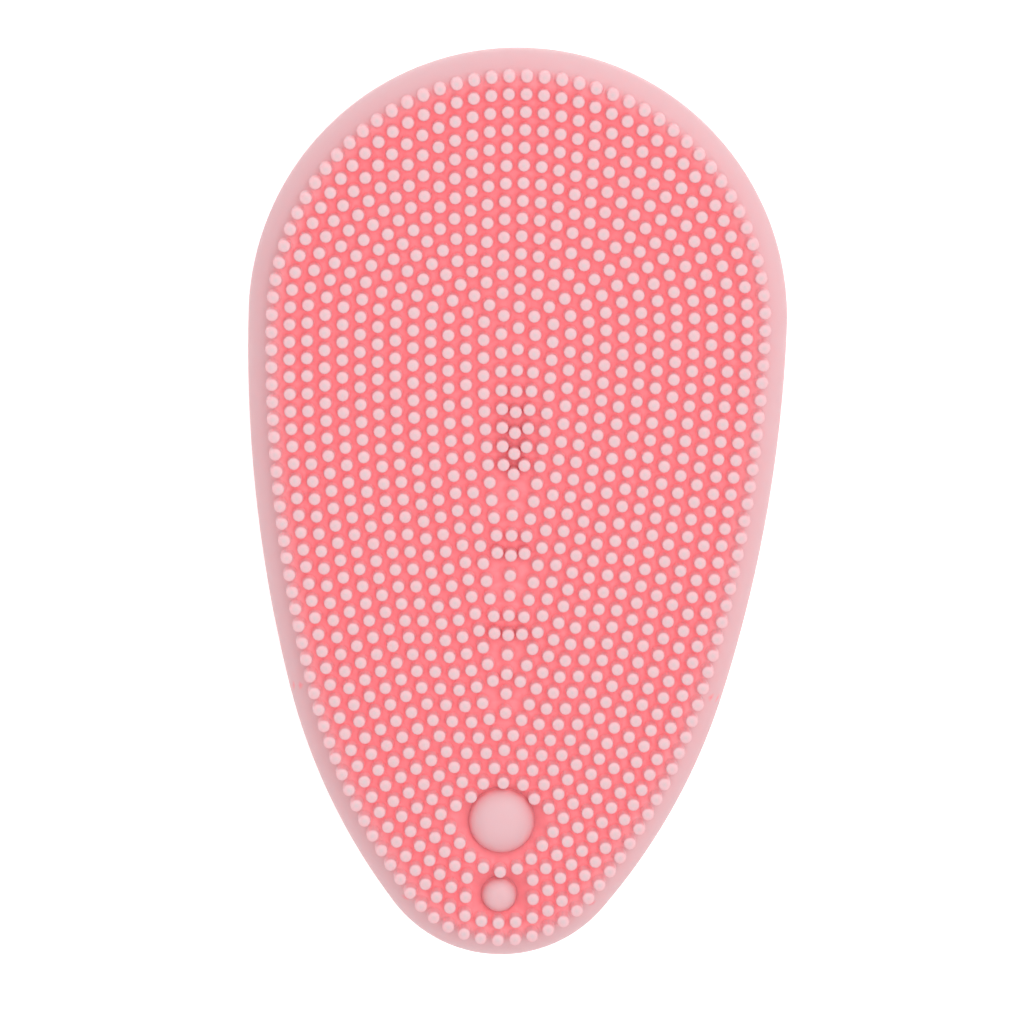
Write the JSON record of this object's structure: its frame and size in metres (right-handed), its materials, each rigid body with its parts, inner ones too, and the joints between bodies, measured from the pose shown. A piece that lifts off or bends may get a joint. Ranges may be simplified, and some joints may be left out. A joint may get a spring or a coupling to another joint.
{
  "type": "facial cleansing brush",
  "caption": "Egg-shaped handheld silicone face brush: bristle face in rings, two soft keys at the narrow end, vibration motor, battery and board sealed inside.",
  "frame": {"origin": "on the flat rest face of the back, under the middle of the outline", "axes": "+Z out of the bristle face, +Y to the wide end, +X to the right when the bristle face is looked at with the wide end up"},
  "size_m": [0.0534, 0.0908, 0.0193],
  "materials": {
    "silicone": "translucent matte pink silicone, bristle tips and rim paler than the floor",
    "key_silicone": "matte pale pink silicone",
    "shell_plastic": "moulded off-white plastic, fine texture",
    "gasket_rubber": "matte",
    "steel": "satin",
    "board_resin": "solder mask, slight gloss",
    "switch_plastic": "matte black",
    "plunger_plastic": "matte cream",
    "clear_plastic": "clear moulded plastic",
    "chip_resin": "matte epoxy with tinned legs",
    "ceramic": "matte ceramic",
    "socket_nylon": "moulded nylon",
    "cell_foil": "crinkled laminate foil",
    "foam": "open-cell foam, matte",
    "lead_insulation": "smooth",
    "motor_steel": "drawn steel, satin",
    "motor_cap_plastic": "moulded",
    "bronze": "sintered, matte",
    "magnet_nickel": "nickel plate",
    "copper": "enamelled winding",
    "weight_metal": "sintered tungsten, matte",
    "sleeve_rubber": "matte",
    "gold_contact": "gold plate, polished"
  },
  "bodies": {
    "housing": {"front_skin": "silicone", "rear_skin": "silicone", "power_key_web": "key_silicone", "speed_key_web": "key_silicone", "front_shell": "shell_plastic", "rear_shell": "shell_plastic", "shell_gasket": "gasket_rubber", "shell_screws": "steel", "circuit_board": "board_resin", "board_screws": "steel", "power_switch": "switch_plastic", "speed_switch": "switch_plastic", "status_light": "clear_plastic", "light_pipe": "clear_plastic", "control_chip": "chip_resin", "charger_chip": "chip_resin", "small_components": "ceramic", "battery_socket": "socket_nylon", "battery": "cell_foil", "battery_pad": "foam", "battery_leads": "lead_insulation", "motor_case": "motor_steel", "motor_end_cap": "motor_cap_plastic", "motor_bushes": "bronze", "motor_magnet": "magnet_nickel", "motor_brushes": "copper", "motor_sleeve": "sleeve_rubber", "motor_clamp": "shell_plastic", "clamp_screws": "steel", "motor_leads": "lead_insulation", "charge_contacts": "gold_contact", "contact_seals": "gasket_rubber", "charge_leads": "lead_insulation", "holding_magnets": "magnet_nickel"},
    "power_key": {"power_key": "key_silicone", "power_switch_plunger": "plunger_plastic"},
    "speed_key": {"speed_key": "key_silicone", "speed_switch_plunger": "plunger_plastic"},
    "rotor": {"motor_shaft": "steel", "motor_coil": "copper", "motor_commutator": "copper", "eccentric_weight": "weight_metal"}
  },
  "joints": [
    {"name": "power_key_press", "type": "slide", "parent": "housing", "child": "power_key", "axis": [0, 0, -1], "range_m": [0, 0.0004], "stiffness_N_per_m": 1000, "springref_m": -0.0004, "deforming": ["power_key_web"]},
    {"name": "speed_key_press", "type": "slide", "parent": "housing", "child": "speed_key", "axis": [0, 0, -1], "range_m": [0, 0.0004], "stiffness_N_per_m": 1000, "springref_m": -0.0004, "deforming": ["speed_key_web"]},
    {"name": "motor_spin", "type": "hinge", "parent": "housing", "child": "rotor", "pos_m": [0, 0.02395, 0.008], "axis": [1, 0, 0], "continuous": true}
  ]
}
